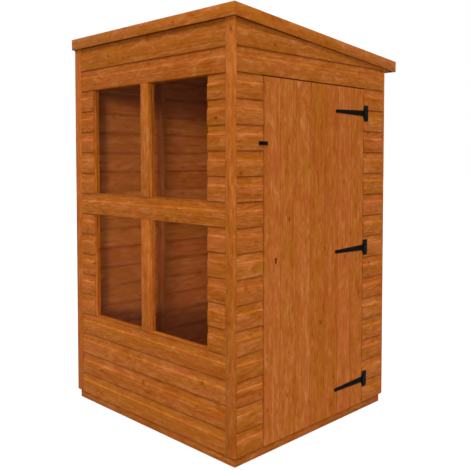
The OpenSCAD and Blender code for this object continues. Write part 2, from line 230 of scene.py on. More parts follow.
# Painted shade in joints, standing for the shadow under each lap and in the door's V joints and keyhole:
# what it does to the colour, its share on a lap, and its height there
PAINTED_SHADE_TINT = (0.55, 0.42, 0.25)
LAP_SHADE_SHARE = 0.50
LAP_SHADE_HEIGHT = 0.011


def stained_timber(name, shade=1.0, knotty=0.5, sawn=0.0, varied=1.0, straight=1.0, lapped=False):
    """Stained softwood, from the board's own attributes.

    grain: the place in metres along, across and through the board. lot: three random numbers of
    the board. end: 1 on sawn ends. rise, on lapped boards: the height above the lower edge.
    painted_shade, on other boards that have it: how much shade is painted into a joint or a hole.
    """
    f = Finish(name)
    grain = f.attribute("grain").outputs["Vector"]
    lot = f.attribute("lot").outputs["Vector"]
    end = f.attribute("end").outputs["Fac"]
    lots = f.node("ShaderNodeSeparateXYZ", {0: lot}).outputs
    shift = f.moved("MULTIPLY", lot, (31.0, 47.0, 23.0))

    def stretched(along, across, through):
        return f.moved("ADD", f.moved("MULTIPLY", grain, (along, across, through)), shift)

    def swayed(tone, by, weight):
        return f.sum_of("MULTIPLY_ADD", f.sum_of("SUBTRACT", by, 0.5), weight, tone)

    # Knots: the nearest one, its size, and how near it is
    spread = (KNOTS_ALONG, KNOTS_ACROSS, 0.0)
    wander = {"Vector": stretched(9.0, 30.0, 30.0), "Scale": 1.0}
    wander = f.node("ShaderNodeTexNoise", wander).outputs["Color"]
    wander = f.moved("MULTIPLY", f.moved("SUBTRACT", wander, (0.5, 0.5, 0.5)), (0.05, 0.09, 0.0))
    place = f.moved("ADD", f.moved("ADD", f.moved("MULTIPLY", grain, spread), shift), wander)
    place = f.moved("MULTIPLY", place, (1.0, 1.0, 0.0))
    cell = f.node("ShaderNodeTexVoronoi", {"Vector": place, "Scale": 1.0}, voronoi_dimensions="2D")
    away = f.moved("SUBTRACT", place, cell.outputs["Position"])
    away = f.moved("MULTIPLY", away, (0.7 / KNOTS_ALONG, 1.0 / KNOTS_ACROSS, 0.0))
    away = f.node("ShaderNodeVectorMath", {0: away}, operation="LENGTH").outputs["Value"]
    luck = f.node("ShaderNodeSeparateColor", {0: cell.outputs["Color"]}).outputs
    knot_r = f.sum_of("MULTIPLY_ADD", luck[0], 0.0050, 0.0022)
    present = f.sum_of("LESS_THAN", luck[1], knotty)
    reach = f.sum_of("DIVIDE", away, knot_r)
    knot = f.sum_of("MULTIPLY", present, f.between(reach, 1.15, 0.75, smooth=True))
    rim = f.sum_of("MULTIPLY", present, f.between(reach, 1.9, 1.0, smooth=True))
    swell = f.sum_of("MULTIPLY", present, f.between(reach, 4.2, 0.0, smooth=True))

    # Growth rings: distance from a heart behind the face, that wanders along the board
    axes = f.node("ShaderNodeSeparateXYZ", {0: grain}).outputs
    heart_across = f.between(lots[1], 0.0, 1.0, -0.045, 0.045)
    heart_deep = f.between(lots[2], 0.0, 1.0, 0.020, 0.060)
    drift = f.sum_of("MULTIPLY", f.noise(stretched(1.1, 3.0, 3.0), 2.0), 0.050)
    ring_y = f.sum_of("ADD", f.sum_of("SUBTRACT", axes[1], heart_across), drift)
    ring_z = f.sum_of("ADD", axes[2], heart_deep)
    squares = f.sum_of("ADD", f.sum_of("POWER", ring_y, 2.0), f.sum_of("POWER", ring_z, 2.0))
    ring_r = f.sum_of("SQRT", squares)
    ring_r = f.sum_of("MULTIPLY_ADD", swell, 0.012, ring_r)
    ring_r = f.sum_of("MULTIPLY_ADD", f.noise(stretched(7.0, 40.0, 40.0), 1.0), 0.0035, ring_r)
    ring = f.sum_of("FRACT", f.sum_of("DIVIDE", ring_r, RING_GAP))
    late = f.sum_of("MULTIPLY", f.between(ring, 0.35, 0.88, smooth=True), f.between(ring, 1.0, 0.93))

    # Stain: streaks, blotches and fibres, pale to dark
    streak = f.noise(stretched(4.5 / straight, 60.0, 60.0), 4.0, 0.6, 0.3)
    blotch = f.noise(stretched(11.0, 34.0, 34.0), 3.0, 0.6, 0.8)
    fleck = f.noise(stretched(30.0, 110.0, 110.0), 3.0, 0.6, 0.4)
    fibre = f.noise(stretched(22.0, 620.0, 620.0), 2.0, 0.6)
    tone = swayed(0.5, streak, 0.60)
    tone = swayed(tone, blotch, 1.05)
    tone = swayed(tone, fleck, 0.75)
    tone = swayed(tone, fibre, 0.25)
    tone = swayed(tone, lots[0], 0.12 * varied)
    tone = f.sum_of("MULTIPLY_ADD", late, -0.15, f.sum_of("ADD", tone, 0.04))
    tone = f.sum_of("MULTIPLY_ADD", swell, -0.12, tone)
    stops = ((0.0, STAIN_DARK), (0.26, STAIN_DEEP), (0.52, STAIN_BODY), (0.92, STAIN_PALE))
    colour = f.ramp(tone, stops)
    red = f.noise(stretched(7.0, 36.0, 36.0), 3.0, 0.6)
    red = swayed(red, lots[2], 0.16 * varied)
    colour = f.blend(f.between(red, 0.52, 0.74, 0.0, 0.75), colour, STAIN_RED)
    honey = f.between(red, 0.46, 0.26, 0.0, 0.75)
    colour = f.blend(honey, colour, STAIN_HONEY)
    colour = f.blend(f.sum_of("MULTIPLY", rim, 0.30), colour, STAIN_DARK)
    colour = f.blend(f.sum_of("MULTIPLY", knot, 0.50), colour, KNOT_BROWN)
    dark_end = f.sum_of("MULTIPLY", end, 0.18)
    colour = f.blend(dark_end, colour, STAIN_DARK)
    # Painted shade: lapped boards are darkened just below each lap and along their lower arris, where the
    # lap casts its shadow; other boards are darkened where their attribute marks a joint or a hole
    if lapped:
        rise = f.attribute("rise").outputs["Fac"]
        shade_under_lap = f.between(rise, COVER - LAP_SHADE_HEIGHT, COVER - LAP_SHADE_HEIGHT / 2, smooth=True)
        shade_at_arris = f.between(rise, 0.0022, 0.0004, smooth=True)
        painted_shade = f.sum_of("MULTIPLY", f.sum_of("MAXIMUM", shade_under_lap, shade_at_arris), LAP_SHADE_SHARE)
    else:
        painted_shade = f.attribute("painted_shade").outputs["Fac"]
    colour = f.blend(painted_shade, colour, PAINTED_SHADE_TINT, "MULTIPLY")
    if shade != 1.0:
        colour = f.blend(1.0, colour, (shade, shade, shade), "MULTIPLY")

    # Surface: fibres and soft early wood worn below the late wood
    rough = f.between(fibre, 0.2, 0.8, 0.50 + 0.16 * sawn, 0.64 + 0.2 * sawn)
    relief = f.sum_of("MULTIPLY_ADD", late, 0.35, f.sum_of("MULTIPLY", fibre, 0.55 + sawn))
    relief = f.sum_of("MULTIPLY_ADD", knot, 0.5, relief)
    if sawn:
        marks = f.noise(stretched(520.0, 9.0, 9.0), 1.0)
        relief = f.sum_of("MULTIPLY_ADD", marks, 0.8 * sawn, relief)
    return f.coated(colour, rough, 0.06, relief, 0.00035, 0.8)


def granule_felt():
    """Mineral roofing felt: coarse dark granules pressed into bitumen."""
    f = Finish("mineral_felt")
    place = f.node("ShaderNodeTexCoord").outputs["Object"]
    grit = f.node("ShaderNodeTexVoronoi", {"Vector": place, "Scale": 520.0})
    cloud = f.noise(f.moved("MULTIPLY", place, (3.0, 3.0, 3.0)), 4.0)
    pick = f.node("ShaderNodeSeparateColor", {0: grit.outputs["Color"]}).outputs[0]
    dark, middle, pale = (0.018, 0.022, 0.019), (0.040, 0.049, 0.042), (0.115, 0.130, 0.113)
    stops = ((0.0, dark), (0.6, middle), (1.0, pale))
    colour = f.ramp(pick, stops)
    colour = f.blend(f.between(cloud, 0.35, 0.75, 0.0, 0.45), colour, (0.050, 0.050, 0.042))
    grain_high = f.between(grit.outputs["Distance"], 0.0, 0.7, 1.0, 0.0)
    return f.coated(colour, 0.93, 0.25, grain_high, 0.0006, 0.9)


def coated_iron(name, colour, rough, specular, metal=0.0):
    """Painted or lacquered iron with a faint cast texture and rubbed patches."""
    f = Finish(name)
    place = f.node("ShaderNodeTexCoord").outputs["Object"]
    pebble = f.noise(f.moved("MULTIPLY", place, (420.0, 420.0, 420.0)), 2.0)
    patch = f.noise(f.moved("MULTIPLY", place, (38.0, 38.0, 38.0)), 3.0)
    rubbed = tuple(1.7 * c + 0.001 for c in colour)
    shown = f.blend(f.between(patch, 0.52, 0.74), colour, rubbed)
    roughness = f.between(patch, 0.3, 0.7, rough - 0.06, rough + 0.08)
    return f.coated(shown, roughness, specular, pebble, 0.00012, 0.7, Metallic=metal)


def window_glass():
    """Thin clear sheet: it passes light straight on and mirrors a little of it."""
    f = Finish("clear_glass")
    mirror = f.node("ShaderNodeFresnel", {"IOR": 1.22}).outputs[0]
    inner = f.node("ShaderNodeNewGeometry").outputs["Backfacing"]
    mirror = f.sum_of("MULTIPLY", mirror, f.sum_of("SUBTRACT", 1.0, inner))
    through = f.node("ShaderNodeBsdfTransparent", {"Color": (0.960, 0.955, 0.945, 1.0)}).outputs[0]
    place = f.node("ShaderNodeTexCoord").outputs["Object"]
    ripple = f.noise(f.moved("MULTIPLY", place, (5.0, 5.0, 3.0)), 1.0)
    lean = f.node("ShaderNodeBump", {"Height": ripple, "Distance": 0.0015, "Strength": 0.35}).outputs[0]
    film = f.between(ripple, 0.3, 0.7, 0.02, 0.05)
    gloss = {"Color": (0.24, 0.24, 0.25, 1.0), "Roughness": film, "Normal": lean}
    shine = f.node("ShaderNodeBsdfGlossy", gloss).outputs[0]
    return f.close(f.node("ShaderNodeMixShader", {0: mirror, 1: through, 2: shine}).outputs[0])


CLADDING = stained_timber("stained_cladding", knotty=0.42, lapped=True)
TRIM = stained_timber("stained_trim", knotty=0.30)
DOOR_FACE = stained_timber("stained_door_boards", knotty=0.34, varied=1.7, straight=4.0)
FRAMING = stained_timber("stained_framing", shade=0.93, knotty=0.30, sawn=0.6)
BOARDING = stained_timber("stained_boarding", shade=0.95, knotty=0.40, sawn=0.2)
FELT = granule_felt()
IRON = coated_iron("black_lacquered_iron", (0.0018, 0.0017, 0.0017), 0.50, 0.03)
LOCK = coated_iron("dark_lock_iron", (0.022, 0.021, 0.020), 0.42, 0.4, 0.3)
NAIL = coated_iron("stained_nail_heads", (0.120, 0.040, 0.014), 0.55, 0.3, 0.2)
CLOUT = coated_iron("galvanised_clout_nails", (0.30, 0.31, 0.31), 0.48, 0.5, 0.7)
GLASS = window_glass()


# ---------------------------------------------------------------- timber
# Seeds of the random numbers of each sort of board; each wall and timber adds its own number
WALL_LOTS = 1000
DOOR_LOTS = 2000
FLOOR_LOTS = 2001
ROOF_LOTS = 2002
TIMBER_LOTS = 3000


def loose_parts(mesh):
    """Vertex numbers of each solid of a mesh, in the order in which the mesh holds them."""
    leader = list(range(len(mesh.vertices)))

    def head(i):
        while leader[i] != i:
            leader[i] = leader[leader[i]]
            i = leader[i]
        return i

    for edge in mesh.edges:
        a, b = (head(i) for i in edge.vertices)
        if a != b:
            leader[max(a, b)] = min(a, b)
    parts = {}
    for i in range(len(mesh.vertices)):
        parts.setdefault(head(i), []).append(i)
    return list(parts.values())


def own_axes(points):
    """Long, wide and thin direction of one stick of timber."""
    _, vectors = numpy.linalg.eigh(numpy.cov((points - points.mean(0)).T))
    axes = [Vector(vectors[:, i]) for i in (2, 1, 0)]
    for axis in axes:
        if max(axis, key=abs) < 0:
            axis.negate()
    return axes


def lay_grain(mesh, seed, along=None, out=None):
    """Gives every board its grain: its own coordinates, its random lot, and its sawn ends."""
    places = numpy.empty(len(mesh.vertices) * 3)
    mesh.vertices.foreach_get("co", places)
    places = places.reshape(-1, 3)
    grain = numpy.zeros_like(places)
    lot = numpy.zeros_like(places)
    long_way = numpy.zeros_like(places)
    draw = random.Random(seed)
    for part in loose_parts(mesh):
        points = places[part]
        axes = (along, out.cross(along), out) if along else own_axes(points)
        turn = numpy.array([list(a) for a in axes])
        middle = (points.min(0) + points.max(0)) / 2
        grain[part] = (points - middle) @ turn.T
        lot[part] = [draw.random() for _ in range(3)]
        long_way[part] = turn[0]
    for name, values in (("grain", grain), ("lot", lot)):
        layer = mesh.attributes.new(name, "FLOAT_VECTOR", "POINT")
        layer.data.foreach_set("vector", values.ravel())
    ends = mesh.attributes.new("end", "FLOAT", "FACE")
    for face in mesh.polygons:
        axis = Vector(long_way[face.vertices[0]])
        ends.data[face.index].value = float(abs(face.normal.dot(axis)) > 0.75)


def lay_rise(mesh):
    """Gives every lapped board the height above its own lower edge."""
    layer = mesh.attributes.new("rise", "FLOAT", "POINT")
    for part in loose_parts(mesh):
        low = min(mesh.vertices[i].co.z for i in part)
        start = row_z(round((low - CLAD_FOOT) / COVER))
        for i in part:
            layer.data[i].value = mesh.vertices[i].co.z - start


def lay_painted_shade(mesh, out, hole=None, reach=0.0):
    """Marks the slopes of V joints, and the walls of a hole, where shade is painted into the colour."""
    layer = mesh.attributes.new("painted_shade", "FLOAT", "FACE")
    for face in mesh.polygons:
        lean = abs(face.normal.dot(out))
        inside = hole is not None and (face.center - hole).length < reach and lean < 0.3
        layer.data[face.index].value = 1.0 if inside else 0.8 * (0.5 < lean < 0.9)


def extruded(name, outline, start, end):
    """A closed bar along X. The outline is a list of (y, z)."""
    shape = bmesh.new()
    rings = [[shape.verts.new((x, *point)) for point in outline] for x in (start, end)]
    count = len(outline)
    for i in range(count):
        j = (i + 1) % count
        shape.faces.new((rings[0][i], rings[0][j], rings[1][j], rings[1][i]))
    for ring in rings:
        shape.faces.new(ring)
    bmesh.ops.recalc_face_normals(shape, faces=shape.faces)
    return to_mesh(shape, name)


def prism(name, section, length):
    """A closed board along X. The section is a list of (distance out towards -Y, height)."""
    return extruded(name, [(-out, up) for out, up in section], 0.0, length)


def to_mesh(shape, name):
    mesh = bpy.data.meshes.new(name)
    shape.to_mesh(mesh)
    shape.free()
    return mesh


def from_mesh(mesh):
    shape = bmesh.new()
    shape.from_mesh(mesh)
    return shape


def crisp(mesh, degrees=30):
    """Smooth shading between faces that meet at less than an angle."""
    mesh.shade_smooth()
    mesh.set_sharp_from_angle(angle=math.radians(degrees))


def shiplap_section():
    """One board: rounded lower arris, flat face, cove, tongue, and the rebate behind its lap."""
    arris = 0.0014
    thin = BOARD - COVE_DEEP
    nose_back = thin + LAP_GAP
    curve = (COVE_DEEP**2 + COVE_HIGH**2) / (2 * COVE_DEEP)
    section = [(nose_back, 0.0)]
    for step in range(4):
        turn = math.radians(30 * step)
        section.append((BOARD - arris + arris * math.sin(turn), arris - arris * math.cos(turn)))
    for step in range(7):
        up = COVE_HIGH * (1 - step / 6)
        section.append((thin + curve - math.sqrt(curve**2 - up**2), COVER - PLAIN_STRIP - up))
    section.append((thin, COVER + TONGUE - 0.0006))
    section.append((0.0, COVER + TONGUE - 0.0006))
    section.append((0.0, TONGUE))
    section.append((nose_back, TONGUE))
    return section


def matchboard_section(width, vee):
    """One board with both arrises of its face cut back, so that two boards make a V joint."""
    face = [(BOARD, vee), (BOARD, width - vee)]
    return [(0.0, 0.0), (BOARD - vee, 0.0), *face, (BOARD - vee, width), (0.0, width)]


def board_frame(origin, along, out):
    """Places a board made along X with its face towards -Y."""
    inward = -out
    up = along.cross(inward)
    turn = Matrix((along, inward, up)).transposed().to_4x4()
    return Matrix.Translation(origin) @ turn


# ---------------------------------------------------------------- Geometry Nodes
class Tree:
    """A Geometry Nodes tree with named inputs."""

    def __init__(self, name, sockets):
        self.tree = bpy.data.node_groups.new(name, "GeometryNodeTree")
        face = self.tree.interface
        face.new_socket("Geometry", in_out="INPUT", socket_type="NodeSocketGeometry")
        for title, kind in sockets:
            face.new_socket(title, in_out="INPUT", socket_type="NodeSocket" + kind)
        face.new_socket("Geometry", in_out="OUTPUT", socket_type="NodeSocketGeometry")
        self.given = self.tree.nodes.new("NodeGroupInput").outputs

    def node(self, kind, inputs=None, **settings):
        return add_node(self.tree, kind, inputs, **settings).outputs

    def close(self, geometry):
        solid = self.node("GeometryNodeRealizeInstances", {0: geometry})[0]
        painted = {"Geometry": solid, "Material": self.given["Finish"]}
        painted = self.node("GeometryNodeSetMaterial", painted)[0]
        self.node("NodeGroupOutput", {0: painted})
        return self.tree


def board_rows_tree():
    """Repeats one board row over row, each a hair further in or out than its neighbours."""
    sockets = [("Rows", "Int"), ("Rise", "Float"), ("Unevenness", "Float")]
    sockets += [("Seed", "Int"), ("Finish", "Material")]
    t = Tree("board_rows", sockets)
    offset = t.node("ShaderNodeCombineXYZ", {"Z": t.given["Rise"]})[0]
    line = t.node("GeometryNodeMeshLine", {"Count": t.given["Rows"], "Offset": offset})[0]
    boards = t.node("GeometryNodeInstanceOnPoints", {"Points": line, "Instance": t.given["Geometry"]})[0]
    inward = t.node("ShaderNodeMath", {0: t.given["Unevenness"], 1: -1.0}, operation="MULTIPLY")[0]
    proud = {2: inward, 3: t.given["Unevenness"], "Seed": t.given["Seed"]}
    proud = t.node("FunctionNodeRandomValue", proud)[1]
    shift = t.node("ShaderNodeCombineXYZ", {"Y": proud})[0]
    return t.close(t.node("GeometryNodeTranslateInstances", {"Instances": boards, "Translation": shift})[0])


def heads_tree():
    """Sets a nail or screw head on every point, square to its surface and turned at random."""
    sockets = [("Head", "Object"), ("Size", "Float"), ("Seed", "Int"), ("Finish", "Material")]
    t = Tree("fixing_heads", sockets)
    head = t.node("GeometryNodeObjectInfo", {"Object": t.given["Head"]})["Geometry"]
    facing = t.node("GeometryNodeInputNamedAttribute", {"Name": "facing"}, data_type="FLOAT_VECTOR")[0]
    square = t.node("FunctionNodeAlignRotationToVector", {"Vector": facing}, axis="Z")[0]
    turn = {2: 0.0, 3: 2 * math.pi, "Seed": t.given["Seed"]}
    turn = t.node("FunctionNodeRandomValue", turn)[1]
    spin = t.node("ShaderNodeCombineXYZ", {"Z": turn})[0]
    values = {"Points": t.given["Geometry"], "Instance": head, "Rotation": square, "Scale": t.given["Size"]}
    heads = t.node("GeometryNodeInstanceOnPoints", values)[0]
    return t.close(t.node("GeometryNodeRotateInstances", {"Instances": heads, "Rotation": spin})[0])


def grown(tree, mesh, **inputs):
    """The plain mesh that a tree makes of a starting mesh."""
    carrier = placed("carrier", mesh)
    modifier = carrier.modifiers.new("tree", "NODES")
    modifier.node_group = tree
    for item in tree.interface.items_tree:
        if item.in_out == "INPUT" and item.name in inputs:
            modifier[item.identifier] = inputs[item.name]
    return baked(carrier)


def baked(carrier):
    """The evaluated mesh of an object, which is then removed."""
    graph = bpy.context.evaluated_depsgraph_get()
    mesh = bpy.data.meshes.new_from_object(
        carrier.evaluated_get(graph), preserve_all_data_layers=True, depsgraph=graph
    )
    carrier.modifiers.clear()
    bpy.data.objects.remove(carrier)
    return mesh


BOARD_ROWS = board_rows_tree()
FIXING_HEADS = heads_tree()


def piece(name, mesh, finish, body, slot, *stands_for):
    """A finished piece at the origin, on its body, in place of the nodes that it stands for."""
    made = placed(name, mesh)
    mesh.materials.clear()
    mesh.materials.append(finish)
    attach(made, body)
    if stands_for:
        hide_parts(*stands_for)
    return made


def cut(mesh, *tools):
    """A mesh with other closed meshes cut out of it."""
    carrier = placed("carrier", mesh)
    knives = []
    for tool in tools:
        knife = placed("knife", tool)
        knives.append(knife)
        step = carrier.modifiers.new("cut", "BOOLEAN")
        step.operation = "DIFFERENCE"
        step.solver = "EXACT"
        step.object = knife
    result = baked(carrier)
    for knife in knives:
        bpy.data.objects.remove(knife)
    return result


def trimmed(mesh, *planes):
    """Cuts away what lies outside the planes, each (point, outward normal), and closes the cuts."""
    shape = from_mesh(mesh)
    for point, normal in planes:
        geometry = list(shape.verts) + list(shape.edges) + list(shape.faces)
        done = bmesh.ops.bisect_plane(
            shape, geom=geometry, dist=1e-7, plane_co=point, plane_no=normal, clear_outer=True
        )
        edges = [e for e in done["geom_cut"] if isinstance(e, bmesh.types.BMEdge)]
        bmesh.ops.holes_fill(shape, edges=edges)
    bmesh.ops.recalc_face_normals(shape, faces=shape.faces)
    return to_mesh(shape, mesh.name)


ROOF_NORMAL = Vector((0, ROOF_SLOPE, 1)).normalized()
UNDER_ROOF = (Vector((0, 0, roof_z(0) - UNDER_DROP - HAIR)), ROOF_NORMAL)


def boarding(name, section, length, rows, rise, origin, along, out, finish, seed, uneven=0.0003):
    """Board over board in its place, before any cutting."""
    start = prism(name, section, length)
    values = {"Rows": rows, "Rise": rise, "Unevenness": uneven, "Seed": seed, "Finish": finish}
    mesh = grown(BOARD_ROWS, start, **values)
    mesh.transform(board_frame(origin, along, out))
    return mesh


# ---------------------------------------------------------------- cladding
# Each wall: the nodes it stands for, its outward direction, the direction of its boards, and its
# runs. Each run: where it starts at the inner face, its length, its first row, the row after its last
FRONT_RUN = 2 * (RIGHT - STRIP)
SIDE_RUN = IN_BACK - IN_FRONT
STACK = RIGHT - STRIP - WINDOW_EDGE
WALLS = {
    "front_boards_below": (
        ["front_cladding_below"],
        -Y,
        X,
        [((STRIP - RIGHT, IN_FRONT), FRONT_RUN, 0, SILL_ROW)],
    ),
    "front_boards_beside": (
        ["front_cladding_beside"],
        -Y,
        X,
        [
            ((x, IN_FRONT), STACK, first, last)
            for x in (STRIP - RIGHT, WINDOW_EDGE)
            for first, last in ((SILL_ROW, BETWEEN_ROW), (BETWEEN_ROW + 1, HEAD_ROW))
        ],
    ),
    "front_board_between": (
        ["front_cladding_between"],
        -Y,
        X,
        [((STRIP - RIGHT, IN_FRONT), FRONT_RUN, BETWEEN_ROW, BETWEEN_ROW + 1)],
    ),
    "front_boards_above": (
        ["front_cladding_above"],
        -Y,
        X,
        [((STRIP - RIGHT, IN_FRONT), FRONT_RUN, HEAD_ROW, TOP_ROW)],
    ),
    "left_wall_boards": (["left_cladding"], -X, -Y, [((-IN_RIGHT, IN_BACK), SIDE_RUN, 0, TOP_ROW)]),
    "back_wall_boards": (["back_cladding"], Y, -X, [((RIGHT - STRIP, IN_BACK), FRONT_RUN, 0, TOP_ROW)]),
    "right_boards_before_door": (
        ["right_cladding_front"],
        X,
        Y,
        [((IN_RIGHT, IN_FRONT), WAY_FRONT - IN_FRONT, 0, HEAD_ROW)],
    ),
    "right_boards_behind_door": (
        ["right_cladding_back"],
        X,
        Y,
        [((IN_RIGHT, WAY_BACK), IN_BACK - WAY_BACK, 0, HEAD_ROW)],
    ),
    "right_boards_over_door": (
        ["right_cladding_over_door"],
        X,
        Y,
        [((IN_RIGHT, IN_FRONT), SIDE_RUN, HEAD_ROW, TOP_ROW)],
    ),
}


# Walls whose top tongue is cut off across the window, and the height of the cut
SILLS = {"front_boards_below": row_z(SILL_ROW), "front_board_between": row_z(BETWEEN_ROW + 1)}


def sill_cutter(height):
    low = (-WINDOW_EDGE, FRONT - BOARD, height)
    high = (WINDOW_EDGE, IN_FRONT + BOARD, height + 2 * TONGUE)
    return block(low, high)


def joined(meshes, name):
    shape = bmesh.new()
    for mesh in meshes:
        shape.from_mesh(mesh)
    return to_mesh(shape, name)


def clad_walls():
    for seed, (name, (stands_for, out, along, runs)) in enumerate(WALLS.items()):
        meshes = []
        for number, ((x, y), length, first, last) in enumerate(runs):
            origin = Vector((x, y, row_z(first))) + along * JOINT
            run = (length - 2 * JOINT, last - first, COVER, origin, along, out, CLADDING)
            meshes.append(boarding(name, shiplap_section(), *run, 100 * seed + number))
        mesh = joined(meshes, name)
        if name in SILLS:
            mesh = cut(mesh, sill_cutter(SILLS[name]))
        if any(last == TOP_ROW for _, _, _, last in runs):
            mesh = trimmed(mesh, UNDER_ROOF)
        lay_grain(mesh, WALL_LOTS + seed, along, out)
        lay_rise(mesh)
        crisp(mesh)
        piece(name, mesh, CLADDING, "root", "cladding", *stands_for)


# ---------------------------------------------------------------- boards of door, floor and roof
def block(low, high):
    """A closed box between two corners."""
    shape = bmesh.new()
    bmesh.ops.create_cube(shape, size=1.0)
    size = Vector(high) - Vector(low)
    middle = (Vector(high) + Vector(low)) / 2
    fitted = Matrix.Translation(middle) @ Matrix.Diagonal((*size, 1))
    bmesh.ops.transform(shape, matrix=fitted, verts=shape.verts)
    return to_mesh(shape, "block")


def keyhole_cutter():
    """A keyhole through the door: a round hole over a slot."""
    y, z = KEYHOLE
    start = math.acos(KEYHOLE_SLOT / 2 / KEYHOLE_R)
    turn = [-start + (math.pi + 2 * start) * i / 20 for i in range(21)]
    outline = [(y + KEYHOLE_R * math.cos(a), z + KEYHOLE_R * math.sin(a)) for a in turn]
    foot = z + KEYHOLE_R - KEYHOLE_HIGH
    outline += [(y - KEYHOLE_SLOT / 2, foot), (y + KEYHOLE_SLOT / 2, foot)]
    return extruded("keyhole", outline, IN_RIGHT - CUT_PAST, RIGHT + CUT_PAST)


def door_leaf():
    origin = Vector((IN_RIGHT, DOOR_HUNG, CLAD_FOOT))
    run = (DOOR_TOP - CLAD_FOOT, DOOR_BOARDS, DOOR_BOARD_WIDE, origin, Z, X, DOOR_FACE)
    mesh = boarding("door", matchboard_section(DOOR_BOARD_WIDE, VEE), *run, 41, 0.0002)
    mesh = cut(mesh, keyhole_cutter())
    lay_grain(mesh, DOOR_LOTS, Z, X)
    # Painted shade: the door's V joints and the walls of its keyhole are darkened in the colour
    lay_painted_shade(mesh, X, Vector((RIGHT - BOARD / 2, *KEYHOLE)), KEYHOLE_HIGH)
    crisp(mesh)
    piece("door_leaf_boards", mesh, DOOR_FACE, "door", "door", "door_boards")


def floor_deck():
    width = 2 * IN_RIGHT / DECK_BOARDS
    origin = Vector((IN_RIGHT, IN_FRONT, FLOOR_TOP - BOARD))
    run = (IN_BACK - IN_FRONT, DECK_BOARDS, width, origin, Y, Z, BOARDING)
    mesh = boarding("floor", matchboard_section(width, VEE), *run, 42)
    notch = block((IN_RIGHT - 0.005, WAY_FRONT, 0.0), (RIGHT, WAY_BACK, 0.1))
    mesh = cut(mesh, notch)
    lay_grain(mesh, FLOOR_LOTS, Y, Z)
    crisp(mesh)
    piece("floor_deck_boards", mesh, BOARDING, "root", "boarding", "floor_boards")


def roof_deck():
    width = 2 * RIGHT / DECK_BOARDS
    along = Vector((0, 1, -ROOF_SLOPE)).normalized()
    out = -ROOF_NORMAL
    over = 0.05
    start = -ROOF_HALF_L - over
    origin = Vector((-RIGHT, start, roof_z(start) - DECK_DROP))
    run = (2 * ROOF_HALF_L + 3 * over, DECK_BOARDS, width, origin, along, out, BOARDING)
    mesh = boarding("roof", matchboard_section(width, ROOF_VEE), *run, 43, 0.0)
    end = ROOF_HALF_L - EDGE_BOARD
    mesh = trimmed(mesh, (Vector((0, end, 0)), Y), (Vector((0, -end, 0)), -Y))
    lay_grain(mesh, ROOF_LOTS, along, out)
    crisp(mesh)
    piece("roof_deck_boards", mesh, BOARDING, "root", "boarding", "roof_boards")


# ---------------------------------------------------------------- timbers and ironwork from the frame
def eased_copy(name, arris, steps=2, angle=35):
    """A node's solids with clean faces and slightly rounded edges."""
    shape = from_mesh(nodes[name].data)
    bmesh.ops.remove_doubles(shape, verts=shape.verts, dist=1e-5)
    flat = math.radians(0.4)
    bmesh.ops.dissolve_limit(shape, angle_limit=flat, verts=shape.verts, edges=shape.edges)
    sharp = [e for e in shape.edges if e.is_manifold and e.calc_face_angle(0.0) > math.radians(angle)]
    bmesh.ops.bevel(
        shape, geom=sharp, offset=arris, segments=steps, profile=0.5, affect="EDGES", clamp_overlap=True
    )
    bmesh.ops.recalc_face_normals(shape, faces=shape.faces)
    mesh = to_mesh(shape, name)
    for layer in [a.name for a in mesh.attributes if not (a.is_internal or a.is_required)]:
        mesh.attributes.remove(mesh.attributes[layer])
    return mesh


TIMBERS = {
    "floor_bearers": ("bearers_across", FRAMING, "framing", 0.0012),
    "floor_rims": ("bearer_ends", FRAMING, "framing", 0.0012),
    "front_posts": ("front_uprights", FRAMING, "framing", 0.0012),
    "front_rails": ("front_cross_rails", FRAMING, "framing", 0.0012),
    "left_posts": ("left_uprights", FRAMING, "framing", 0.0012),
    "left_rails": ("left_cross_rails", FRAMING, "framing", 0.0012),
    "back_posts": ("back_uprights", FRAMING, "framing", 0.0012),
    "back_rails": ("back_cross_rails", FRAMING, "framing", 0.0012),
    "right_posts": ("right_uprights", FRAMING, "framing", 0.0012),
    "right_rails": ("right_cross_rails", FRAMING, "framing", 0.0012),
    "roof_purlins": ("purlin_timbers", FRAMING, "framing", 0.0012),
    "eaves_rail": ("eaves_timber", FRAMING, "framing", 0.0012),
    "door_stops": ("door_stop_strips", FRAMING, "framing", 0.0010),
    "mullion_strip": ("mullion_cover_strips", TRIM, "trim", 0.0012),
    "glazing_beads": ("window_beads", TRIM, "trim", 0.0010),
    "corner_strips": ("corner_cover_strips", TRIM, "trim", 0.0014),
    "front_fascia": ("fascia_board_front", TRIM, "trim", 0.0014),
    "back_fascia": ("fascia_board_back", TRIM, "trim", 0.0014),
    "barge_boards": ("barge_boards_sides", TRIM, "trim", 0.0014),
    "door_ledges": ("door_ledge_boards", FRAMING, "framing", 0.0015),
    "door_braces": ("door_brace_boards", FRAMING, "framing", 0.0015),
}


def timbers():
    for seed, (node, (name, finish, slot, arris)) in enumerate(TIMBERS.items()):
        mesh = eased_copy(node, arris)
        lay_grain(mesh, TIMBER_LOTS + seed)
        crisp(mesh)
        body = "door" if node.startswith("door_") and node != "door_stops" else "root"
        piece(name, mesh, finish, body, slot, node)


IRONWORK = {
    "hinge_straps": ("strap_hinge_arms", IRON, "ironwork", "door", 0.0006),
    "top_hinge_plate": ("hinge_plate_top", IRON, "ironwork", "root", 0.0005),
    "middle_hinge_plate": ("hinge_plate_middle", IRON, "ironwork", "root", 0.0005),
    "bottom_hinge_plate": ("hinge_plate_bottom", IRON, "ironwork", "root", 0.0005),
    "turn_button": ("turn_button_bar", IRON, "ironwork", "turn_button", 0.0010),
    "button_screw": ("turn_button_screw", IRON, "ironwork", "root", 0.0004),
    "rim_lock": ("rim_lock_case", LOCK, "lock", "door", 0.0016),
    "lock_keep": ("rim_lock_keep", LOCK, "lock", "root", 0.0006),
}


def ironwork():
    for node, (name, finish, slot, body, arris) in IRONWORK.items():
        mesh = eased_copy(node, arris)
        crisp(mesh)
        piece(name, mesh, finish, body, slot, node)


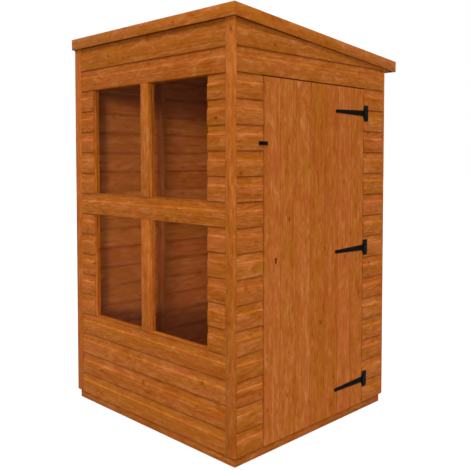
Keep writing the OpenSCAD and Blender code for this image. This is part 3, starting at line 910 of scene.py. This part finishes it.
# ---------------------------------------------------------------- roof felt
FELT_LAP = 0.0013
FELT_LAPS = (-0.16, 0.30)
FELT_LIFT = 0.10
FELT_CREASE = 0.0002


def lap_wave(x, number):
    """How far a lap of felt strays from its line."""
    return 0.003 * math.sin(5.1 * x + 2.4 * number) + 0.0016 * math.sin(17.0 * x + number)


def felt_top(x, y):
    """Height of the felt: two laps that face down the slope, and slight waves."""
    z = roof_z(y) - FELT_DROP - FELT_LAP - FELT_CREASE
    for number, lap in enumerate(FELT_LAPS):
        edge = lap + lap_wave(x, number)
        if y < edge:
            z += FELT_LAP * max(0.0, min(1.0, (y - edge + FELT_LIFT) / FELT_LIFT))
    return z + 0.0003 * math.sin(9.0 * x + 5.0 * y) * math.sin(11.0 * y)


def felt():
    """One sheet of geometry that shows three widths of felt lapped down the slope."""
    end = ROOF_HALF_L - EDGE_BOARD - FELT_CREASE
    side = RIGHT - FELT_CREASE
    across, down = 60, 48
    columns = [side * (2 * i / across - 1) for i in range(across + 1)]
    evenly = (round(end * (2 * i / down - 1), 5) for i in range(down + 1))
    lines = sorted({*evenly, *FELT_LAPS})
    shape = bmesh.new()
    grid = []
    for y in lines:
        steps = (-FELT_CREASE, FELT_CREASE) if y in FELT_LAPS else (0.0,)
        for step in steps:
            row = []
            for x in columns:
                wave = lap_wave(x, FELT_LAPS.index(y)) if y in FELT_LAPS else 0.0
                place = y + step + wave
                row.append(shape.verts.new((x, place, felt_top(x, place))))
            grid.append(row)
    for low, high in zip(grid, grid[1:]):
        for a, b, c, d in zip(low, low[1:], high[1:], high):
            shape.faces.new((a, b, c, d))
    rim = [e for e in shape.edges if e.is_boundary]
    under = bmesh.ops.extrude_edge_only(shape, edges=rim)["geom"]
    for vertex in (v for v in under if isinstance(v, bmesh.types.BMVert)):
        vertex.co.z = roof_z(vertex.co.y) - DECK_DROP + HAIR
    rim = [e for e in shape.edges if e.is_boundary]
    bmesh.ops.contextual_create(shape, geom=rim)
    bmesh.ops.recalc_face_normals(shape, faces=shape.faces)
    mesh = to_mesh(shape, "felt")
    crisp(mesh, 25)
    piece("lapped_roofing_felt", mesh, FELT, "root", "felt", "roof_felt")


# ---------------------------------------------------------------- nails and screws
def dome(name, radius, height, sides, slot=0.0):
    """A low domed head on the plane z = 0, with or without a slot."""
    shape = bmesh.new()
    levels = ((1.0, -0.4), (1.0, 0.25), (0.82, 0.72), (0.45, 0.96))
    rings = []
    turns = [2 * math.pi * i / sides for i in range(sides)]
    for wide, high in levels:
        r = radius * wide
        rings.append([shape.verts.new((r * math.cos(a), r * math.sin(a), height * high)) for a in turns])
    for low, high in zip(rings, rings[1:]):
        for i in range(sides):
            j = (i + 1) % sides
            shape.faces.new((low[i], low[j], high[j], high[i]))
    shape.faces.new(rings[-1])
    shape.faces.new(list(reversed(rings[0])))
    bmesh.ops.recalc_face_normals(shape, faces=shape.faces)
    mesh = to_mesh(shape, name)
    if slot:
        wide = radius * 1.2
        mesh = cut(mesh, block((-wide, -slot / 2, height * 0.35), (wide, slot / 2, height * 2)))
    return bpy.data.objects.new(name, mesh)


NAIL_HEAD = dome("nail_head", 0.0016, 0.0004, 8)
CLOUT_HEAD = dome("clout_head", 0.0045, 0.0009, 12)
SCREW_HEAD = dome("screw_head", 0.0040, 0.0016, 16, 0.0011)
WASHER_HEAD = dome("small_screw_head", 0.0030, 0.0012, 12, 0.0009)


def fixings(name, head, places, finish, body, slot, seed):
    """Heads at places, each (point, outward direction)."""
    mesh = bpy.data.meshes.new(name)
    mesh.from_pydata([tuple(p) for p, _ in places], [], [])
    facing = mesh.attributes.new("facing", "FLOAT_VECTOR", "POINT")
    facing.data.foreach_set("vector", [c for _, out in places for c in out])
    values = {"Head": head, "Size": 1.0, "Seed": seed, "Finish": finish}
    mesh = grown(FIXING_HEADS, mesh, **values)
    crisp(mesh, 50)
    piece(name, mesh, finish, body, slot)


# Nails: how far they stray, how high above a lap, how far below the roof edge, and their spacing
# along the roof edge boards
NAIL_SLIP = 0.003
NAIL_RISE = 0.026
NAIL_BELOW_ROOF = 0.005
EDGE_NAILS_FROM = -0.560
EDGE_NAIL_GAP = 0.224


def wall_nails():
    draw = random.Random(7)
    places = []

    def drive(x, y, z, out):
        slip = Vector([draw.uniform(-NAIL_SLIP, NAIL_SLIP) for _ in range(3)])
        slip -= out * slip.dot(out)
        places.append((Vector((x, y, z)) + slip, out))

    # The lines of nails: over the middle of a post, and between the windows over the rail.
    # Of the two lines above the windows, only the lower nails have a rail behind them
    corner = RIGHT - STRIP - STICK_WIDE / 2
    window = WINDOW_EDGE + 0.030
    over_window = 0.180
    first = IN_FRONT + STICK_THIN / 2
    last = IN_BACK - STICK_THIN / 2
    before_door = WAY_FRONT - STICK_THIN / 2
    behind_door = WAY_BACK + STICK_THIN / 2
    studs = {
        "front_boards_below": (-corner, -window, window, corner),
        "front_boards_beside": (-corner, -window, window, corner),
        "front_board_between": (-corner, -window, 0.0, window, corner),
        "front_boards_above": (-corner, -over_window, over_window, corner),
        "left_wall_boards": (first, (first + last) / 2, last),
        "back_wall_boards": (-corner, 0.0, corner),
        "right_boards_before_door": (first, before_door),
        "right_boards_behind_door": (behind_door, last),
        "right_boards_over_door": (first, before_door, behind_door, last),
    }
    for name, lines in studs.items():
        _, out, _, runs = WALLS[name]
        rows = sorted({row for _, _, low, high in runs for row in range(low, high)})
        for row in rows:
            for line in lines:
                z = row_z(row) + NAIL_RISE
                if out.y:
                    x, y = line, (FRONT if out.y < 0 else BACK)
                else:
                    x, y = (RIGHT if out.x > 0 else -RIGHT), line
                if z < roof_z(y) - EDGE_HIGH - NAIL_BELOW_ROOF:
                    drive(x, y, z, out)
    for x in (STRIP / 2 - RIGHT, RIGHT - STRIP / 2):
        for y, out in ((FRONT, -Y), (BACK, Y)):
            for step in range(7):
                z = 0.12 + step * 0.27
                if z < roof_z(y) - 0.09:
                    drive(x, y, z, out)
    for y, out in ((-ROOF_HALF_L, -Y), (ROOF_HALF_L, Y)):
        for step in range(6):
            drive(EDGE_NAILS_FROM + step * EDGE_NAIL_GAP, y, roof_z(y) - EDGE_HIGH / 2, out)
    for x, out in ((-ROOF_HALF_W, -X), (ROOF_HALF_W, X)):
        for step in range(6):
            y = EDGE_NAILS_FROM + step * EDGE_NAIL_GAP
            drive(x, y, roof_z(y) - EDGE_HIGH / 2, out)
    for z in (0.60, 0.80, 1.26, 1.46, 1.62):
        drive(0.0, FRONT, z, -Y)
    fixings("wall_nail_heads", NAIL_HEAD, places, NAIL, "root", "ironwork", 11)


def door_nails():
    places = []
    for height in HINGE_HEIGHTS:
        for number in range(DOOR_BOARDS):
            y = DOOR_FREE + (number + 0.5) * DOOR_BOARD_WIDE
            for side in (-1, 1):
                places.append((Vector((RIGHT, y + side * 0.022, height + side * 0.031)), X))
    fixings("door_nail_heads", NAIL_HEAD, places, NAIL, "door", "ironwork", 12)


def hinge_screws():
    arms = [
        (Vector((RIGHT + HINGE_METAL, PIN_Y - reach, height)), X)
        for height in HINGE_HEIGHTS
        for reach in (0.036, 0.098, 0.160, 0.226)
    ]
    plates = [
        (Vector((RIGHT + HINGE_METAL, PIN_Y + across, height + up)), X)
        for height in HINGE_HEIGHTS
        for across, up in ((0.022, -0.032), (0.022, 0.032), (0.031, -0.012), (0.031, 0.012))
    ]
    fixings("hinge_arm_screws", SCREW_HEAD, arms, IRON, "door", "ironwork", 13)
    fixings("hinge_plate_screws", SCREW_HEAD, plates, IRON, "root", "ironwork", 14)


def lock_screws():
    low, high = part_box("rim_lock")
    places = [
        (Vector((low.x, y, z)), -X)
        for y in (low.y + 0.014, high.y - 0.012)
        for z in (low.z + 0.012, high.z - 0.012)
    ]
    fixings("rim_lock_screws", WASHER_HEAD, places, LOCK, "door", "lock", 15)


def felt_nails():
    places = []
    for y in (*FELT_LAPS, 0.60, -0.60):
        for step in range(12):
            x = -0.594 + step * 0.108
            place = y - 0.018 if y in FELT_LAPS else y
            places.append((Vector((x, place, felt_top(x, place))), ROOF_NORMAL))
    fixings("felt_clout_nails", CLOUT_HEAD, places, CLOUT, "root", "felt", 16)


def glaze():
    for name in ("lower_glass", "upper_glass"):
        mesh = nodes[name].data
        if not mesh.materials:
            mesh.materials.append(GLASS)
        for number in range(len(mesh.materials)):
            nodes[name].material_slots[number].material = GLASS


clad_walls()
door_leaf()
floor_deck()
roof_deck()
timbers()
ironwork()
felt()
wall_nails()
door_nails()
hinge_screws()
lock_screws()
felt_nails()
glaze()

# ---------------------------------------------------------------- floor, light and camera
scene = bpy.context.scene
scene.view_settings.view_transform = "Standard"


# Levels: of the world as a light, and of the ground in diffuse light and to the eye
WORLD_LEVEL = 0.22
GROUND_GREY = 0.12
GROUND_GLOW = 0.88


def seen_directly(tree):
    """1 for a ray from the camera, off a mirror or through a clear sheet, and 0 for others."""
    path = add_node(tree, "ShaderNodeLightPath").outputs
    seen = path["Is Camera Ray"]
    for other in ("Is Glossy Ray", "Is Transmission Ray"):
        values = {0: seen, 1: path[other]}
        seen = add_node(tree, "ShaderNodeMath", values, operation="MAXIMUM").outputs[0]
    return seen


def pale_floor():
    """White ground that keeps the shadow of the building faint."""
    f = Finish("white_ground")
    seen = seen_directly(f.tree)
    grey = (GROUND_GREY, GROUND_GREY, GROUND_GREY, 1.0)
    matt = f.node("ShaderNodeBsdfDiffuse", {"Color": grey}).outputs[0]
    strength = f.sum_of("MULTIPLY", seen, GROUND_GLOW)
    glow = f.node("ShaderNodeEmission", {"Strength": strength}).outputs[0]
    return f.close(f.node("ShaderNodeAddShader", {0: matt, 1: glow}).outputs[0])


def ground():
    shape = bmesh.new()
    bmesh.ops.create_grid(shape, x_segments=1, y_segments=1, size=40.0)
    mesh = to_mesh(shape, "ground")
    mesh.materials.append(pale_floor())
    placed("ground", mesh)


def sky():
    """White to the eye and in reflections, and a plain level for light."""
    world = bpy.data.worlds.new("studio")
    scene.world = world
    world.use_nodes = True
    tree = world.node_tree
    tree.nodes.clear()
    white = (1, 1, 1, 1)
    light = add_node(tree, "ShaderNodeBackground", {"Color": white, "Strength": WORLD_LEVEL})
    plain = add_node(tree, "ShaderNodeBackground", {"Color": white, "Strength": 1.0})
    join = {0: seen_directly(tree), 1: light.outputs[0], 2: plain.outputs[0]}
    join = add_node(tree, "ShaderNodeMixShader", join)
    add_node(tree, "ShaderNodeOutputWorld", {0: join.outputs[0]})


def soft_sun(name, direction, strength, spread):
    """A wide lamp that lights the same way everywhere. The direction points towards it."""
    lamp = bpy.data.lights.new(name, "SUN")
    lamp.energy = strength
    lamp.angle = math.radians(spread)
    sun = placed(name, lamp)
    sun.rotation_euler = Vector(direction).to_track_quat("Z", "Y").to_euler()


def room_fill(name, place, radius, watts):
    """A soft unseen lamp in the room, so that the inside shows its colour through the panes."""
    lamp = bpy.data.lights.new(name, "POINT")
    lamp.energy = watts
    lamp.shadow_soft_size = radius
    fill = placed(name, lamp)
    fill.location = place
    fill.visible_camera = False
    fill.visible_glossy = False
    fill.visible_transmission = False


ground()
sky()
# Each lamp: its direction, its strength, and how wide it looks in degrees
soft_sun("front_light", (0.12, -1.0, 1.50), 2.05, 14)
soft_sun("side_light", (1.0, -0.12, 1.50), 2.05, 14)
soft_sun("low_corner_light", (1.0, -1.0, 0.15), 1.85, 9)
soft_sun("back_light", (-0.1, 1.0, 0.8), 2.10, 20)
soft_sun("far_light", (-1.0, 0.1, 0.8), 2.10, 20)
room_fill("room_fill", (0.10, -0.30, 0.95), 0.20, 6.8)

# The camera: its place in metres, and its angles below the level and round from the front
CAMERA_PLACE = (2.5692, -2.5576, 1.3257)
CAMERA_DOWN = 2.438
CAMERA_ROUND = 45.008
lens = bpy.data.cameras.new("camera")
lens.sensor_width = 36.0
lens.lens = 50.18
lens.shift_y = -0.10
camera = placed("camera", lens)
camera.location = CAMERA_PLACE
camera.rotation_euler = (math.radians(90 - CAMERA_DOWN), 0.0, math.radians(CAMERA_ROUND))
scene.camera = camera
